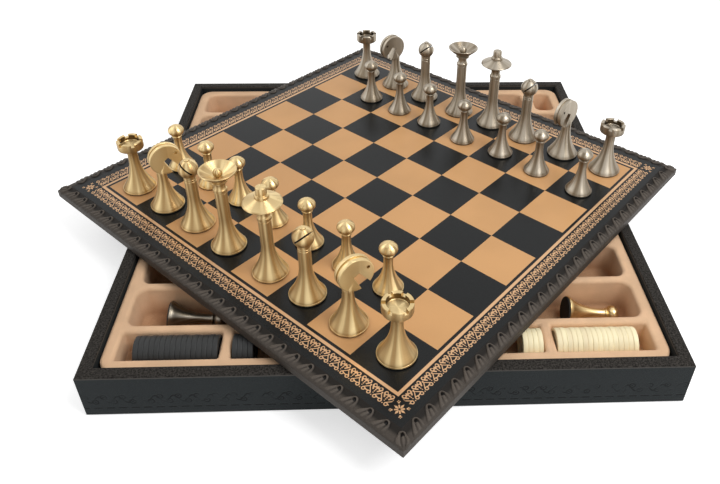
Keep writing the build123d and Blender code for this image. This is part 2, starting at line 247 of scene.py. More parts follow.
class Finish:
    """A material, or a world, and its nodes."""

    def __init__(self, name, store="materials"):
        self.owner = getattr(bpy.data, store).new(name)
        self.owner.use_nodes = True
        self.tree = self.owner.node_tree

    def fill(self, node, sockets):
        """Sets or links sockets of a node."""
        for key, value in sockets.items():
            if isinstance(value, Wire):
                self.tree.links.new(value.socket, node.inputs[key])
            else:
                node.inputs[key].default_value = value

    def node(self, kind, settings, sockets, out=0):
        """A node of that type: its settings first, then the values or links of its sockets."""
        node = self.tree.nodes.new(kind)
        for key, value in settings.items():
            setattr(node, key, value)
        self.fill(node, sockets)
        return Wire(self, node.outputs[out])

    def shade(self, sockets):
        """Sets or links the sockets of the material's own shader."""
        self.fill(self.tree.nodes["Principled BSDF"], sockets)
        return self.owner

    def place(self, middle=(0, 0, 0), turn=0.0):
        """Object coordinates in millimetres, from a middle, turned about z."""
        coordinates = self.node("ShaderNodeTexCoord", {}, {}, out=3)
        return self.node(
            "ShaderNodeMapping",
            {"vector_type": "TEXTURE"},
            {"Vector": coordinates, "Location": middle, "Rotation": (0, 0, turn), "Scale": (MM, MM, MM)},
        )

    def axes(self, vector):
        """The x, y and z of a vector."""
        split = self.node("ShaderNodeSeparateXYZ", {}, {0: vector})
        return [Wire(self, socket) for socket in split.socket.node.outputs]

    def vector(self, x, y, z=0.0):
        """A vector from its x, y and z."""
        return self.node("ShaderNodeCombineXYZ", {}, {0: x, 1: y, 2: z})

    def noise(self, vector, scale, detail=2.0, roughness=0.5):
        """Soft noise."""
        sockets = {"Vector": vector, "Scale": scale, "Detail": detail, "Roughness": roughness}
        return self.node("ShaderNodeTexNoise", {}, sockets)

    def cells(self, vector, scale):
        """Distance to the nearest edge between small cells, as in leather grain."""
        sockets = {"Vector": vector, "Scale": scale}
        return self.node("ShaderNodeTexVoronoi", {"feature": "DISTANCE_TO_EDGE"}, sockets)

    def mix(self, factor, first, second):
        """A colour between two colours."""
        return self.node("ShaderNodeMix", {"data_type": "RGBA"}, {0: factor, 6: first, 7: second}, out=2)

    def bump(self, height, depth):
        """Normals that are raised by a height, up to a depth in metres."""
        return self.node("ShaderNodeBump", {}, {"Height": height, "Distance": depth, "Strength": 1.0})


def tone(value, factor):
    """A lighter or darker tone of a colour."""
    return (*(min(1, channel * factor) for channel in value[:3]), 1)


def dress(node, material):
    """Gives a CAD node a finish."""
    slots = NODES[node].data.materials
    slots.clear()
    slots.append(material)


# Modelling helpers

MERGE_GAP = 0.000004
SMOOTH_ANGLE = 35


def select(piece, kind, test):
    """In edit mode, selects the vertices, edges or faces that pass a test."""
    bpy.ops.mesh.select_mode(type=kind)
    bpy.ops.mesh.select_all(action="DESELECT")
    mesh = bmesh.from_edit_mesh(piece.data)
    for item in {"VERT": mesh.verts, "EDGE": mesh.edges, "FACE": mesh.faces}[kind]:
        if test(item):
            item.select_set(True)
    mesh.select_flush_mode()
    bmesh.update_edit_mesh(piece.data)


def alone(piece):
    """Selects one object only."""
    bpy.ops.object.select_all(action="DESELECT")
    piece.select_set(True)
    bpy.context.view_layer.objects.active = piece


def start(name, add, **sizes):
    """A new primitive with its place in its mesh, in edit mode and selected all over."""
    bpy.ops.object.select_all(action="DESELECT")
    add(**sizes)
    piece = bpy.context.object
    piece.name = name
    bpy.ops.object.transform_apply(location=True, rotation=True, scale=True)
    bpy.ops.object.mode_set(mode="EDIT")
    return piece


def close(piece, angle=SMOOTH_ANGLE):
    """Merges doubles, turns all faces outwards and smooths below an angle, back in object mode."""
    bpy.ops.mesh.select_mode(type="VERT")
    bpy.ops.mesh.select_all(action="SELECT")
    bpy.ops.mesh.remove_doubles(threshold=MERGE_GAP)
    bpy.ops.mesh.normals_make_consistent(inside=False)
    bpy.ops.object.mode_set(mode="OBJECT")
    alone(piece)
    bpy.ops.object.shade_smooth_by_angle(angle=radians(angle))
    return piece


def smoothed(piece):
    """Smooths a piece again after a cut."""
    alone(piece)
    bpy.ops.object.shade_smooth_by_angle(angle=radians(SMOOTH_ANGLE))
    return piece


def turned(name, outline, steps):
    """A piece turned about the z axis from an outline in millimetres, from axis to axis."""
    x, z = outline[0]
    piece = start(name, bpy.ops.mesh.primitive_plane_add, size=MM, location=(x * MM, 0, z * MM))
    bpy.ops.mesh.merge(type="CENTER")
    for (x, z), (next_x, next_z) in zip(outline, outline[1:]):
        bpy.ops.mesh.extrude_region_move(
            TRANSFORM_OT_translate={"value": ((next_x - x) * MM, 0, (next_z - z) * MM)}
        )
    bpy.ops.mesh.select_all(action="SELECT")
    bpy.ops.mesh.spin(steps=steps, angle=2 * pi, center=(0, 0, 0), axis=(0, 0, 1))
    return close(piece)


def joined(name, pieces):
    """Several pieces as one object."""
    alone(pieces[0])
    for piece in pieces[1:]:
        piece.select_set(True)
    bpy.ops.object.join()
    pieces[0].name = name
    return pieces[0]


def cut(piece, tool, operation="DIFFERENCE"):
    """Cuts a piece with a tool, or adds the tool to it, and removes the tool."""
    alone(piece)
    modifier = piece.modifiers.new("Cut", "BOOLEAN")
    modifier.operation = operation
    modifier.object = tool
    bpy.ops.object.modifier_apply(modifier=modifier.name)
    bpy.data.objects.remove(tool)
    return piece


def copied(pattern, name, place, turn=(0, 0, 0)):
    """A copy with its own mesh, put in place and its place applied to the mesh."""
    alone(pattern)
    bpy.ops.object.duplicate(linked=False)
    piece = bpy.context.object
    piece.name = name
    piece.rotation_euler = turn
    piece.location = place
    bpy.ops.object.transform_apply(location=True, rotation=True, scale=True)
    return piece


def finished(piece, material, body, slot, *replaced):
    """Gives a piece its finish and its body, and hides the CAD nodes that it stands for. The slot is not
    used.
    """
    piece.data.materials.clear()
    piece.data.materials.append(material)
    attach(piece, body)
    if replaced:
        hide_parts(*replaced)
    return piece


def arc(middle_x, middle_z, across, up, first, last, count):
    """Points of an arc of an ellipse in a turned outline, by angles in degrees."""
    points = []
    for index in range(count + 1):
        angle = radians(first + (last - first) * index / count)
        points.append((middle_x + across * cos(angle), middle_z + up * sin(angle)))
    return points


# Case


class CHESSBOX_OT_case(bpy.types.Operator):
    """Covers the case's walls with embossed leather and finishes the felts and panels"""

    bl_idname = "chessbox.case"
    bl_label = "Leather Case"

    def execute(self, context):
        settings = context.scene.chessbox_case
        for name, across in (("front_wall", 0), ("right_wall", 1), ("back_wall", 0), ("left_wall", 1)):
            dress(name, wall_leather(settings, across))
        felt = felt_finish("case_felt", settings.felt)
        for name in ("foot_felt", "lining_felt"):
            dress(name, felt)
        panel = panel_finish(settings.panel)
        for name in ("floor_panel", "board_panel"):
            dress(name, panel)
        return {"FINISHED"}


def wall_leather(settings, across):
    """Satin leather with fine grain, an embossed scroll band along the wall, a pressed rim and a painted
    highlight along its top edge.
    """
    dash_level = 7.8
    dash_pitch = 8.1
    dash_length = 5.4
    band_low = 10.2
    band_middle = 16.3
    band_high = 22.4
    band_fade = 0.8
    wave_length = 12
    wave_swing = 3.0
    curl_pitch = wave_length / 2
    curl_radius = 1.9
    curl_aside = 2.3
    lip_low = 35.4
    rim_low = 36.2
    rim_high = 36.9

    finish = Finish("case_leather_" + ("side" if across else "front"))
    place = finish.place()
    axes = finish.axes(place)
    along = axes[across]
    height = axes[2]
    rim = height.ease(rim_low, rim_high)
    grain = finish.cells(place, 1.5).ease(0.0, 0.25)
    fine = finish.noise(place, 2.6, 3.0)
    wave = (along * (2 * pi / wave_length)).math("SINE")
    band = height.ease(band_low, band_low + band_fade) & (1 - height.ease(band_high - band_fade, band_high))
    stem = 1 - abs(height - band_middle - wave * wave_swing).ease(0.4, 1.1)
    curl_x = (along + curl_pitch / 2) % curl_pitch - curl_pitch / 2
    side = ((along + curl_pitch / 2) % wave_length < curl_pitch) * 2 - 1
    curl = (curl_x * curl_x + (height - band_middle + side * curl_aside) ** 2).math("SQRT")
    leaf = 1 - abs(curl - curl_radius).ease(0.2, 0.8)
    dot = 1 - curl.ease(0.4, 0.9)
    dash = ((along % dash_pitch) < dash_length) * (1 - abs(height - dash_level).ease(0.35, 0.8))
    patchy = finish.noise(place, 0.12, 2.0).ease(0.35, 0.6)
    emboss = ((stem | leaf | dot) & band) * patchy | dash
    pressed = finish.noise(place, 0.75, 4.0, 0.75).ease(0.36, 0.64)
    # Painted highlight: a lighter line along the wall's rounded top edge
    edge_highlight = height.ease(lip_low, lip_low + 0.5) & (1 - height.ease(rim_low + 0.2, rim_high - 0.1))
    relief = (grain * 0.16 + fine * 0.12 - emboss * 0.6) * (1 - rim) + pressed * rim * 1.4
    worn = finish.mix(fine.ease(0.35, 0.75), tone(settings.leather, 0.82), tone(settings.leather, 1.2))
    shade = finish.mix(emboss * 0.85, worn, tone(settings.leather, 0.25))
    shade = finish.mix(edge_highlight * 0.8, shade, tone(settings.rim, 2.6))
    base = finish.mix(rim, shade, finish.mix(pressed, tone(settings.rim, 0.45), tone(settings.rim, 2.0)))
    return finish.shade(
        {
            "Base Color": base,
            "Roughness": 0.42 + fine * 0.14 + rim * 0.08,
            "Normal": finish.bump(relief, settings.grain),
            "Specular IOR Level": 0.06,
        }
    )


def felt_finish(name, base):
    """Dark pressed felt."""
    finish = Finish(name)
    place = finish.place()
    fibres = finish.noise(place, 3.0, 4.0, 0.7)
    return finish.shade(
        {
            "Base Color": finish.mix(fibres, tone(base, 0.6), tone(base, 1.5)),
            "Roughness": 0.95,
            "Sheen Weight": 0.3,
            "Normal": finish.bump(fibres, 0.0003),
        }
    )


def panel_finish(base):
    """Fibreboard with fine specks."""
    finish = Finish("fibre_panel")
    place = finish.place()
    specks = finish.noise(place, 1.2, 5.0, 0.75)
    return finish.shade(
        {
            "Base Color": finish.mix(specks, tone(base, 0.6), tone(base, 1.35)),
            "Roughness": 0.75,
            "Normal": finish.bump(specks, 0.0002),
        }
    )


class CHESSBOX_OT_tray(bpy.types.Operator):
    """Moulds the flocked tray, with soft rolled edges round every pocket"""

    bl_idname = "chessbox.tray"
    bl_label = "Flocked Tray"

    def execute(self, context):
        settings = context.scene.chessbox_case
        tray = tray_shape(settings.roll)
        finished(tray, flock_finish(settings.flock), "case", "flock", "flocked_tray")
        return {"FINISHED"}


def tray_pockets():
    """Every pocket in millimetres: its low and high corners, then its floor, corner round and floor round."""
    half = 182.0
    rows = 8
    first_row = -151.0
    row_pitch = 42.5
    row_width = 35.5
    row_form = (5.2, 7.5, 4.0)
    middle_wall = 8.0
    corner_length = 18.5
    corner_wall = 12.0
    corner_form = (5.2, 6.5, 2.0)
    trough_length = 68.0
    trough_width = 24.0
    trough_wall = 8.0
    trough_form = (13.6, 1.8, 0.8)

    pockets = []
    for row in range(rows):
        low = first_row + row * row_pitch
        high = low + row_width
        end = half
        if row == rows - 1:
            pockets.append((half - corner_length, low, half, high, *corner_form))
            end = half - corner_length - corner_wall
        pockets.append((-half, low, -middle_wall / 2, high, *row_form))
        pockets.append((middle_wall / 2, low, end, high, *row_form))
    outer = half - trough_length
    inner = outer - trough_wall
    for low, high in ((-half, -outer), (-inner, inner), (outer, half)):
        pockets.append((low, -half, high, trough_width - half, *trough_form))
    return pockets


def hollow_shape(pocket, top, roll):
    """The hollow of one pocket: rounded at its corners and floor, with a rim that rolls outwards."""
    overrun = 2.0
    x_low, y_low, x_high, y_high, floor, corner_round, floor_round = pocket
    width = x_high - x_low
    depth = y_high - y_low
    middle = Vector(((x_low + x_high) / 2, (y_low + y_high) / 2, floor)) * MM
    levels = []
    for angle in (90, 60, 30, 0):
        fall = radians(angle)
        levels.append((floor_round * (cos(fall) - 1), floor + floor_round * (1 - sin(fall))))
    for angle in (0, 25, 50, 72, 90):
        curl = radians(angle)
        levels.append((roll * (1 - cos(curl)), top - roll * (1 - sin(curl))))
    levels.append((roll, top + overrun))
    hollow = start("hollow", bpy.ops.mesh.primitive_plane_add, size=1, location=middle)
    bpy.ops.transform.resize(value=(width * MM, depth * MM, 1), center_override=middle)
    bpy.ops.mesh.bevel(offset=corner_round * MM, segments=7, affect="VERTICES", clamp_overlap=False)
    last_out, last_level = 0.0, floor
    for index, (out, level) in enumerate(levels):
        if index:
            rise = (level - last_level) * MM
            bpy.ops.mesh.extrude_region_move(TRANSFORM_OT_translate={"value": (0, 0, rise)})
        grow = ((width + 2 * out) / (width + 2 * last_out), (depth + 2 * out) / (depth + 2 * last_out), 1)
        bpy.ops.transform.resize(value=grow, center_override=middle)
        last_out, last_level = out, level
    return close(hollow)


def tray_shape(roll):
    """The tray: a block with round corners and a rolled rim, hollowed by all its pockets."""
    corner_round = 0.012
    upright = 0.005
    low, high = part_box("flocked_tray")
    top = high.z
    tray = start(
        "flocked_tray_moulding",
        bpy.ops.mesh.primitive_cube_add,
        size=1,
        location=(low + high) / 2,
        scale=high - low,
    )
    select(tray, "EDGE", lambda edge: abs(edge.verts[0].co.z - edge.verts[1].co.z) > upright)
    bpy.ops.mesh.bevel(offset=corner_round, segments=8, affect="EDGES")
    select(tray, "EDGE", lambda edge: all(vertex.co.z > top - MERGE_GAP for vertex in edge.verts))
    bpy.ops.mesh.bevel(offset=roll, segments=4, affect="EDGES")
    close(tray)
    hollows = [hollow_shape(pocket, top / MM, roll / MM) for pocket in tray_pockets()]
    cut(tray, joined("hollows", hollows))
    bpy.ops.object.mode_set(mode="EDIT")
    return close(tray, 40)


def flock_finish(base):
    """Short dense flock: velvety sheen, fine fibres and faint brushed patches, with painted shade deep in the
    pockets.
    """
    finish = Finish("flock")
    place = finish.place()
    fibres = finish.noise(place, 2.4, 3.0, 0.7)
    brushed = finish.noise(place, 0.05, 3.0)
    soft = finish.mix(brushed.ease(0.3, 0.7), tone(base, 0.9), tone(base, 1.06))
    # Painted shade: the flock is painted darker deep in the pockets
    pocket_shade = (base[0] * 0.62, base[1] * 0.52, base[2] * 0.45, 1)
    soft = finish.mix(finish.axes(place)[2].ease(3.0, 24.0), pocket_shade, soft)
    return finish.shade(
        {
            "Base Color": finish.mix(fibres.ease(0.35, 0.8) * 0.5, soft, tone(base, 1.16)),
            "Roughness": 0.95,
            "Sheen Weight": 0.12,
            "Sheen Roughness": 0.5,
            "Sheen Tint": (1.0, 0.84, 0.7, 1.0),
            "Specular IOR Level": 0.1,
            "Normal": finish.bump(fibres, 0.0004),
        }
    )


# Board


class CHESSBOX_OT_sheet(bpy.types.Operator):
    """Prints the playing sheet: squares, inner line, scroll band and corner rosettes"""

    bl_idname = "chessbox.sheet"
    bl_label = "Playing Sheet"

    def execute(self, context):
        dress("playing_sheet", sheet_finish(context.scene.chessbox_board))
        return {"FINISHED"}


def stroke(finish, x, y, first, last, width):
    """A mask of a straight stroke between two points."""
    run_x = last[0] - first[0]
    run_y = last[1] - first[1]
    whole = run_x * run_x + run_y * run_y
    across = ((x - first[0]) * (run_x / whole) + (y - first[1]) * (run_y / whole)).clamp()
    off_x = x - first[0] - across * run_x
    off_y = y - first[1] - across * run_y
    return 1 - (off_x * off_x + off_y * off_y).math("SQRT").ease(width * 0.35, width * 0.65)


def ring(x, y, middle, radius, width):
    """A mask of a ring."""
    reach = ((x - middle[0]) ** 2 + (y - middle[1]) ** 2).math("SQRT")
    return 1 - abs(reach - radius).ease(width * 0.35, width * 0.65)


def spot(x, y, middle, radius):
    """A mask of a dot."""
    reach = ((x - middle[0]) ** 2 + (y - middle[1]) ** 2).math("SQRT")
    return 1 - reach.ease(radius * 0.8, radius * 1.2)


def diamond(x, y, middle, across, up):
    """A mask of a diamond, by its half width and half height."""
    return 1 - (abs(x - middle[0]) / across + abs(y - middle[1]) / up).ease(0.8, 1.2)


def sheet_finish(settings):
    """Glossy printed leather: the squares, and round them the foil line, scroll band and rosettes."""
    line_in = 2.2
    line_out = 4.7
    line_fade = 0.2
    band_in = 5.9
    band_width = 9.8
    band_end = 4.4
    rosette_reach = 11.2
    last_square = SQUARES - 0.01

    finish = Finish("playing_sheet_print")
    place = finish.place(settings.middle, settings.turn)
    u, v = finish.axes(place)[:2]
    side = settings.side / MM
    field = SQUARES / 2 * side
    far_u = abs(u)
    far_v = abs(v)
    out = (far_u | far_v) - field
    inside = 1 - out.ease(-0.1, 0.1)
    files = ((u / side + SQUARES / 2) & last_square).math("FLOOR") | 0
    ranks = ((v / side + SQUARES / 2) & last_square).math("FLOOR") | 0
    even = 1 - (files + ranks) % 2
    line = out.ease(line_in, line_in + line_fade) & (1 - out.ease(line_out - line_fade, line_out))
    tan = inside & even

    # The scroll band runs along each side, with x along one heart and y out from the inner line
    swap = far_u > far_v
    along = u + (v - u) * swap
    pitch = settings.pitch / MM
    x = abs((along / pitch) % 1 - 0.5) * pitch
    y = out - band_in
    bud = diamond(x, y, (0.0, 1.95), 1.15, 1.5)
    stem = spot(x, y, (0.0, 3.9), 0.5) | spot(x, y, (0.0, 5.1), 0.42) | spot(x, y, (0.0, 6.4), 0.36)
    stem = stem | spot(x, y, (0.0, 8.5), 0.4)
    heart = ring(x, y, (2.25, 1.45), 1.15, 0.75) & (x + y).ease(1.9, 2.3)
    heart = heart | stroke(finish, x, y, (3.35, 1.9), (1.8, 4.2), 0.95)
    bough = stroke(finish, x, y, (pitch / 2, 3.7), (1.35, 7.4), 0.58)
    curl = ring(x, y, (2.4, 7.95), 1.05, 0.64) | stroke(finish, x, y, (3.1, 7.1), (pitch / 2, 7.6), 0.66)
    link = spot(x, y, (pitch / 2, 2.9), 0.6)
    band = (y > 0) & (y < band_width) & (abs(along) < field + band_end)
    scroll = (bud | stem | heart | bough | curl | link) & band

    # One rosette in each corner
    rose_x = abs(far_u - field - rosette_reach)
    rose_y = abs(far_v - field - rosette_reach)
    rosette = diamond(rose_x, rose_y, (0.0, 2.5), 0.8, 1.9) | diamond(rose_x, rose_y, (2.5, 0.0), 1.9, 0.8)
    rosette = rosette | stroke(finish, rose_x, rose_y, (0.9, 0.9), (2.0, 2.0), 1.0)
    rosette = rosette | spot(rose_x, rose_y, (3.4, 3.4), 0.6) | spot(rose_x, rose_y, (4.5, 3.4), 0.35)
    rosette = rosette | spot(rose_x, rose_y, (3.4, 4.5), 0.35) | spot(rose_x, rose_y, (4.4, 4.4), 0.35)
    foil = scroll | rosette | line

    grain = finish.cells(place, 0.9).ease(0.0, 0.2)
    fine = finish.noise(place, 1.6, 3.0)
    drift = finish.noise(place, 0.02, 2.0)
    black = finish.mix(fine.ease(0.3, 0.7), tone(settings.black, 0.8), tone(settings.black, 1.2))
    tan_tone = finish.mix(drift.ease(0.3, 0.7), tone(settings.tan, 0.95), tone(settings.tan, 1.04))
    tan_tone = finish.mix(fine.ease(0.4, 0.9) * 0.3, tan_tone, tone(settings.tan, 0.85))
    base = finish.mix(foil, finish.mix(tan, black, tan_tone), settings.foil)
    relief = grain * 0.5 + fine * 0.4 - (tan | foil) * 0.6
    return finish.shade(
        {
            "Base Color": base,
            "Roughness": 0.2 + fine * 0.1 + tan * 0.08,
            "Metallic": foil * 0.35,
            "Specular IOR Level": 0.22,
            "Normal": finish.bump(relief, 0.00003),
        }
    )


class CHESSBOX_OT_carving(bpy.types.Operator):
    """Carves the leaves along the board's mouldings, each with a drilled eye"""

    bl_idname = "chessbox.carving"
    bl_label = "Carved Edge"

    def execute(self, context):
        settings = context.scene.chessbox_board
        material = carving_finish(settings)
        leaf = leaf_shape(LEAF_ROWS)
        corner = leaf_shape(CORNER_LEAF_ROWS)
        count = round(2 * settings.leaf_reach / settings.leaf_pitch)
        for name, turn in MOULDINGS.items():
            first = -settings.leaf_reach
            leaves = [copied(corner, "leaf", (first, first, 0), (0, 0, -pi / 4))]
            for index in range(1, count):
                along = first + index * settings.leaf_pitch
                leaves.append(copied(leaf, "leaf", (along, first, 0)))
            piece = joined(name.replace("moulding", "leaves"), leaves)
            piece.rotation_euler = (0, 0, radians(turn) + settings.turn)
            piece.location = settings.middle
            alone(piece)
            bpy.ops.object.transform_apply(location=True, rotation=True, scale=True)
            finished(piece, material, "board", "carved_edge")
            dress(name, material)
        bpy.data.objects.remove(leaf)
        bpy.data.objects.remove(corner)
        return {"FINISHED"}


# The rows of a leaf from its eye outwards, in millimetres: how far out, right edge, left edge and height
LEAF_ROWS = (
    (-2.2, 1.9, -2.1, 0.4),
    (-0.4, 3.2, -3.9, 1.0),
    (1.6, 3.8, -6.1, 1.3),
    (3.6, 3.7, -8.0, 1.3),
    (5.4, 3.5, -9.1, 1.1),
    (6.6, 3.0, -9.9, -0.6),
)
CORNER_LEAF_ROWS = (
    (-2.2, 1.9, -1.9, 0.4),
    (0.2, 3.4, -3.4, 1.0),
    (2.6, 5.0, -5.0, 1.3),
    (4.8, 4.8, -4.8, 1.3),
    (6.8, 2.8, -2.8, 1.1),
    (8.6, 0.8, -0.8, -0.6),
)
# How high each flute and valley across a leaf stands, as shares of its height
LEAF_RIDGES = (-0.3, 0.6, 0.75, 0.2, 0.85, 0.9, 0.3, 0.95, 1.0, 0.6, -0.3)


def leaf_shape(rows):
    """One carved leaf with its eye at the origin: flutes fan out from a hooded, drilled eye to the edge."""
    top = MOULDING_TOP * MM
    eye_in = 0.0033
    root = 0.0025
    eye_radius = 0.0027
    eye_sink = 0.0030
    eye_tilt = radians(-24)
    tilt_sink = 0.0006
    eye_rings = ((0.0025, 1.0), (0.0008, 0.88), (0.0003, 0.76), (-0.0003, 0.84), (-0.0019, 0.86))
    columns = len(LEAF_RIDGES) - 1
    leaf = start(
        "carved_leaf",
        bpy.ops.mesh.primitive_grid_add,
        x_subdivisions=columns,
        y_subdivisions=len(rows) - 1,
        size=1,
    )
    bpy.ops.transform.translate(value=(0, 0, -1))
    bpy.ops.mesh.extrude_region_move(TRANSFORM_OT_translate={"value": (0, 0, 1)})
    mesh = bmesh.from_edit_mesh(leaf.data)
    for vertex in mesh.verts:
        column = round((0.5 - vertex.co.x) * columns)
        out, right, left, height = rows[round((0.5 - vertex.co.y) * (len(rows) - 1))]
        face = top - MOULDING_SLOPE * (out * MM + eye_in)
        raised = vertex.co.z > -0.5
        vertex.co.x = (right + (left - right) * column / columns) * MM
        vertex.co.y = -out * MM
        rise = LEAF_RIDGES[column] * height if height > 0 else height
        vertex.co.z = face + (rise * MM if raised else -root)
    bmesh.update_edit_mesh(leaf.data)
    close(leaf, 60)
    eye = start(
        "drilled_eye",
        bpy.ops.mesh.primitive_circle_add,
        vertices=14,
        radius=eye_radius,
        fill_type="NGON",
        location=(0, 0, top - eye_sink),
    )
    for rise, size in eye_rings:
        bpy.ops.mesh.extrude_region_move(TRANSFORM_OT_translate={"value": (0, 0, rise)})
        bpy.ops.transform.resize(value=(size, size, 1), center_override=(0, 0, 0))
    bpy.ops.mesh.select_all(action="SELECT")
    bpy.ops.transform.rotate(value=eye_tilt, orient_axis="X", center_override=(0, 0, top - tilt_sink))
    close(eye, 50)
    return joined("carved_leaf", [leaf, eye])


def carving_finish(settings):
    """Dark carved edge: lighter on its ridges and its outer face and darker in its grooves, partly as rubbed
    wear and partly as painted highlight and shade for the relief, with painted shade in the drilled eyes.
    """
    finish = Finish("carved_edge")
    place = finish.place(settings.middle, settings.turn)
    u, v, level = finish.axes(place)
    far_u = abs(u)
    far_v = abs(v)
    out = (far_u | far_v) - MOULDING_REACH
    rise = level - MOULDING_TOP + out * MOULDING_SLOPE
    pitch = settings.leaf_pitch / MM
    first = settings.leaf_reach / MM
    along = u + (v - u) * (far_u > far_v)
    cell = ((along + first) / pitch + 0.5) % 1 * pitch - pitch / 2
    # Painted shade: the drilled eyes are painted nearly black inside
    eye = 1 - (cell * cell + (out + MOULDING_REACH - first) ** 2).math("SQRT").ease(0.9, 1.4)
    # Lighter ridges and outer face, darker grooves and hollows: partly rubbed wear, partly painted highlight
    # and shade
    ridge = rise.ease(0.2, 1.1) | out.ease(3.5, 6.5) * 0.62
    ridge = ridge & rise.ease(-1.2, 0.1) | out.ease(9.2, 9.8) * 0.5
    grain = finish.noise(place, 1.1, 4.0, 0.6)
    dark = finish.mix(grain, tone(settings.carving, 0.12), tone(settings.carving, 0.26))
    light = finish.mix(grain, tone(settings.carving, 0.8), tone(settings.carving, 1.7))
    worn = finish.mix(ridge, dark, light)
    return finish.shade(
        {
            "Base Color": finish.mix(eye, worn, tone(settings.carving, 0.04)),
            "Roughness": 0.45 + grain * 0.15,
            "Specular IOR Level": 0.13,
            "Normal": finish.bump(grain, 0.00025),
        }
    )


# Draughts

DISC_SHIFT = 0.0002
DISC_TURN = 37


class CHESSBOX_OT_draughts(bpy.types.Operator):
    """Turns the draughts and stacks them on edge in the front troughs"""

    bl_idname = "chessbox.draughts"
    bl_label = "Draughts"

    def execute(self, context):
        settings = context.scene.chessbox_draughts
        disc = draught_shape(settings)
        for hue, base in (("black", settings.black), ("cream", settings.cream)):
            material = draught_finish(hue, base, settings.thickness)
            for size in ("long", "short"):
                node = f"{hue}_draughts_{size}"
                stack = joined(f"{node}_discs", stacked(disc, node, settings.thickness))
                finished(stack, material, node, f"{hue}_draught", node)
        bpy.data.objects.remove(disc)
        return {"FINISHED"}


def stacked(disc, node, thickness):
    """Copies of one draught that fill a stack's box on edge, each a little aside and turned."""
    low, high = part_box(node)
    middle = (low + high) / 2
    discs = []
    for index in range(round((high.x - low.x) / thickness)):
        aside = DISC_SHIFT * sin(index * 2.4)
        place = (low.x + (index + 0.5) * thickness, middle.y + aside, middle.z)
        discs.append(copied(disc, "draught", place, (radians(DISC_TURN * index), 0, 0)))
    return discs


def draught_shape(settings):
    """One draught with eased edges, a sunk face and a ring, its axis along x."""
    radius = settings.diameter / 2 / MM
    half = settings.thickness / 2 / MM
    sunk = half - 0.9
    ring_top = half - 0.5
    ring_reach = 5.4
    wall_reach = 9.0
    eased = 0.34
    flat = half - 0.02
    face = [
        (0, sunk),
        (ring_reach - 0.8, sunk),
        (ring_reach - 0.4, ring_top),
        (ring_reach + 0.4, ring_top),
        (ring_reach + 0.8, sunk),
        (wall_reach, sunk),
        (wall_reach + 0.6, flat),
    ]
    edge = arc(radius - eased, flat - eased, eased, eased, 90, 0, 3)
    side = [*face, *edge]
    outline = side + [(x, -z) for x, z in reversed(side)]
    disc = turned("draught", outline, 40)
    bpy.ops.object.mode_set(mode="EDIT")
    bpy.ops.mesh.select_all(action="SELECT")
    bpy.ops.transform.rotate(value=pi / 2, orient_axis="Y", center_override=(0, 0, 0))
    bpy.ops.object.mode_set(mode="OBJECT")
    return disc


def draught_finish(hue, base, thickness):
    """Moulded plastic with faint streaks, a little different from disc to disc."""
    finish = Finish(f"{hue}_draught")
    place = finish.place()
    x, y, z = finish.axes(place)
    disc = finish.noise(finish.vector((x / (thickness / MM)).math("FLOOR") * 7.3, 0.0), 1.0)
    streak = finish.noise(finish.vector(x * 0.6, y * 0.08, z * 0.08), 1.0, 3.0)
    even = finish.mix(disc.ease(0.3, 0.7), tone(base, 0.86), tone(base, 1.08))
    return finish.shade(
        {
            "Base Color": finish.mix(streak.ease(0.4, 0.8) * 0.5, even, tone(base, 0.75)),
            "Roughness": 0.38 + streak * 0.12,
            "Specular IOR Level": 0.3,
            "Normal": finish.bump(streak, 0.00005),
        }
    )


# Men, with their sizes in millimetres and the angle of their flare in degrees

MAN_BASE = 27.0
PAWN_BASE = 22.4
TALL_STEM = 9.2
FELT_TOP = 0.85
FOOT_TOP = 2.3
FLARE_ANGLE = 38
FLARE_STEPS = 14
PAWN_BALL = 13.4
PAWN_BALL_LEVEL = 36.6
ROOK_WELL = 14.6
ROOK_WELL_FLOOR = 42.5
KNIGHT_HEAD = 25.4
KNIGHT_HEAD_LEVEL = 44.0
BISHOP_BALL = 15.2
BISHOP_BALL_LEVEL = 52.4


